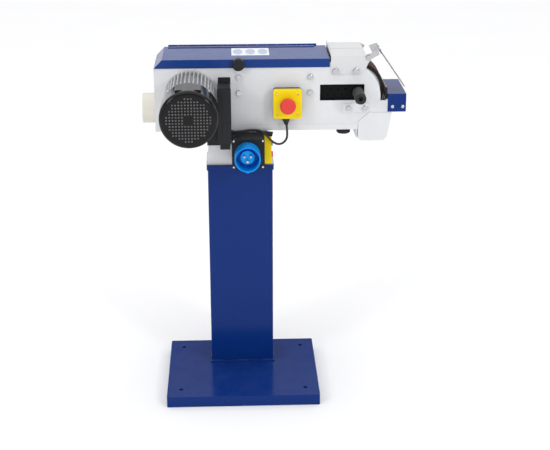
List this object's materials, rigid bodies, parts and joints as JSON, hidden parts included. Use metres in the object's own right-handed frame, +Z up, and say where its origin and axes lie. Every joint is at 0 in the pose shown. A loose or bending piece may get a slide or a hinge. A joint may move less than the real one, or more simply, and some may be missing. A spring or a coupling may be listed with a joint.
{
  "type": "belt grinder",
  "caption": "Pedestal belt grinder: horizontal belt head with finned motor, dust port, lift-up hood, contact wheel, spark chute and stop button on a square column.",
  "frame": {"origin": "centre of the rectangle of floor bolt holes, on the underside of the base", "axes": "+Z up, +X along the head towards the contact wheel, +Y from the motor side to the back"},
  "size_m": [0.729, 0.4308, 0.9645],
  "materials": {
    "blue_paint": "gloss",
    "grey_paint": "satin",
    "cream_plastic": "matte",
    "cream_paint": "satin",
    "zinc_bolt": "bright zinc plated",
    "machined_steel": "machined",
    "black_paint": "gloss",
    "finned_housing": "painted semi-gloss",
    "stator_steel": "laminated, with copper windings",
    "black_plastic": "textured",
    "capacitor_can": "drawn",
    "yellow_plastic": "gloss",
    "red_plastic": "gloss",
    "green_plastic": "gloss",
    "inlet_blue": "gloss",
    "inlet_light_blue": "gloss",
    "brass_pin": "nickel plated",
    "cable_jacket": "satin",
    "black_rubber": "matte",
    "graphite": "graphite-coated cloth",
    "cast_aluminium": "cast and machined",
    "abrasive": "coated abrasive cloth",
    "clear_shield": "clear polycarbonate",
    "label_film": "printed film"
  },
  "bodies": {
    "machine": {"base_tray": "blue_paint", "column": "blue_paint", "column_flange": "blue_paint", "neck": "grey_paint", "front_plate": "grey_paint", "back_plate": "grey_paint", "body_wrapper": "grey_paint", "dust_port": "cream_plastic", "platen_bracket": "machined_steel", "platen": "machined_steel", "graphite_pad": "graphite", "end_shields": "black_paint", "motor_frame": "finned_housing", "stator": "stator_steel", "motor_bearings": "machined_steel", "fan_cowl": "black_paint", "capacitor_box": "black_plastic", "capacitors": "capacitor_can", "terminal_box": "black_plastic", "switch_box": "black_plastic", "inlet_collar": "inlet_blue", "inlet_core": "inlet_light_blue", "inlet_pins": "brass_pin", "switch_cover": "yellow_plastic", "estop_base": "black_plastic", "estop_lid": "yellow_plastic", "small_screws": "zinc_bolt", "cable_glands": "black_rubber", "carriage_guides": "machined_steel", "spark_chute": "grey_paint", "tool_guard": "blue_paint", "work_rest": "grey_paint", "upper_guard": "cream_paint", "adjuster_plate": "grey_paint", "hinge_fixed": "blue_paint", "hex_bolts": "zinc_bolt", "estop_cable": "cable_jacket", "motor_cable": "cable_jacket"},
    "drive_rotor": {"motor_rotor": "machined_steel", "motor_fan": "black_plastic", "drive_wheel": "cast_aluminium"},
    "tension_carriage": {"carriage": "black_paint", "tension_grip": "black_rubber", "tension_spring": "machined_steel", "belt": "abrasive"},
    "contact_roller": {"contact_wheel": "cast_aluminium", "contact_tyre": "black_rubber", "wheel_bearings": "machined_steel"},
    "hood_lid": {"hood": "blue_paint", "hinge_moving": "blue_paint", "hood_label": "label_film"},
    "knob": {"hood_knob": "black_plastic"},
    "shield_arm": {"shield_bracket": "zinc_bolt", "shield": "clear_shield", "shield_screws": "zinc_bolt"},
    "stop_plunger": {"estop_stem": "black_plastic"},
    "stop_head": {"estop_mushroom": "red_plastic"},
    "start_key": {"start_button": "green_plastic"},
    "stop_key": {"stop_button": "red_plastic"},
    "tracking_screw": {"tracking_knob": "black_plastic"}
  },
  "joints": [
    {"name": "drive_spin", "type": "hinge", "parent": "machine", "child": "drive_rotor", "pos_m": [-0.1325, 0.12, 0.842], "axis": [0, 1, 0], "continuous": true},
    {"name": "tension_slide", "type": "slide", "parent": "machine", "child": "tension_carriage", "axis": [1, 0, 0], "range_m": [-0.04, 0], "stiffness_N_per_m": 1500, "springref_m": 0.03, "deforming": ["belt", "tension_spring"]},
    {"name": "contact_spin", "type": "hinge", "parent": "tension_carriage", "child": "contact_roller", "pos_m": [0.3255, 0.12, 0.8465], "axis": [0, 1, 0], "continuous": true},
    {"name": "hood_hinge", "type": "hinge", "parent": "machine", "child": "hood_lid", "pos_m": [0, 0.211, 0.9415], "axis": [-1, 0, 0], "range_deg": [0, 95]},
    {"name": "knob_turn", "type": "hinge", "parent": "hood_lid", "child": "knob", "pos_m": [-0.0019, 0.03, 0.93], "axis": [0, 1, 0], "range_deg": [0, 360]},
    {"name": "shield_tilt", "type": "hinge", "parent": "machine", "child": "shield_arm", "pos_m": [0.3523, 0.0328, 0.9444], "axis": [0, -1, 0], "range_deg": [0, 55]},
    {"name": "stop_press", "type": "slide", "parent": "machine", "child": "stop_plunger", "axis": [0, 1, 0], "range_m": [0, 0.006], "stiffness_N_per_m": 900},
    {"name": "stop_twist", "type": "hinge", "parent": "stop_plunger", "child": "stop_head", "pos_m": [0.1305, -0.02, 0.823], "axis": [0, 1, 0], "range_deg": [0, 30], "stiffness_Nm_per_rad": 0.05},
    {"name": "start_press", "type": "slide", "parent": "machine", "child": "start_key", "axis": [-1, 0, 0], "range_m": [0, 0.003], "stiffness_N_per_m": 300},
    {"name": "stop_key_press", "type": "slide", "parent": "machine", "child": "stop_key", "axis": [-1, 0, 0], "range_m": [0, 0.003], "stiffness_N_per_m": 300},
    {"name": "tracking_turn", "type": "hinge", "parent": "machine", "child": "tracking_screw", "pos_m": [0.29, 0.07, 0.74], "axis": [0, 0, 1], "range_deg": [-180, 180]}
  ],
  "couplings": [
    {"joint": "contact_spin", "follows": "drive_spin", "ratio": 1.0612}
  ]
}
